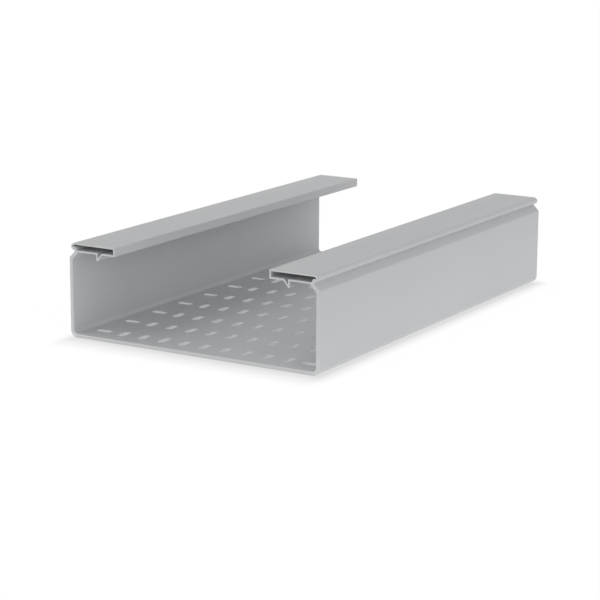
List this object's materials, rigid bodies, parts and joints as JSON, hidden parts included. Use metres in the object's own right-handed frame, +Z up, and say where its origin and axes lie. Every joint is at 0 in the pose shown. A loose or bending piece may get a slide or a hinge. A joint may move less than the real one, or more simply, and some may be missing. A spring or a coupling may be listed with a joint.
{
  "type": "perforated plastic cable tray",
  "caption": "Straight length of grey plastic cable tray: an open channel with a slotted floor, side walls, and hollow inturned rims whose outer grooves take a clip-on cover.",
  "frame": {"origin": "centre of the tray's underside, half way along its length", "axes": "+X across the tray to the right wall, +Y along the tray, +Z up towards the open side between the rims"},
  "size_m": [0.3, 0.5, 0.1],
  "materials": {
    "grey_plastic": "satin, light grey, with faint lines along the extrusion"
  },
  "bodies": {
    "root": {"tray": "grey_plastic"}
  },
  "joints": []
}
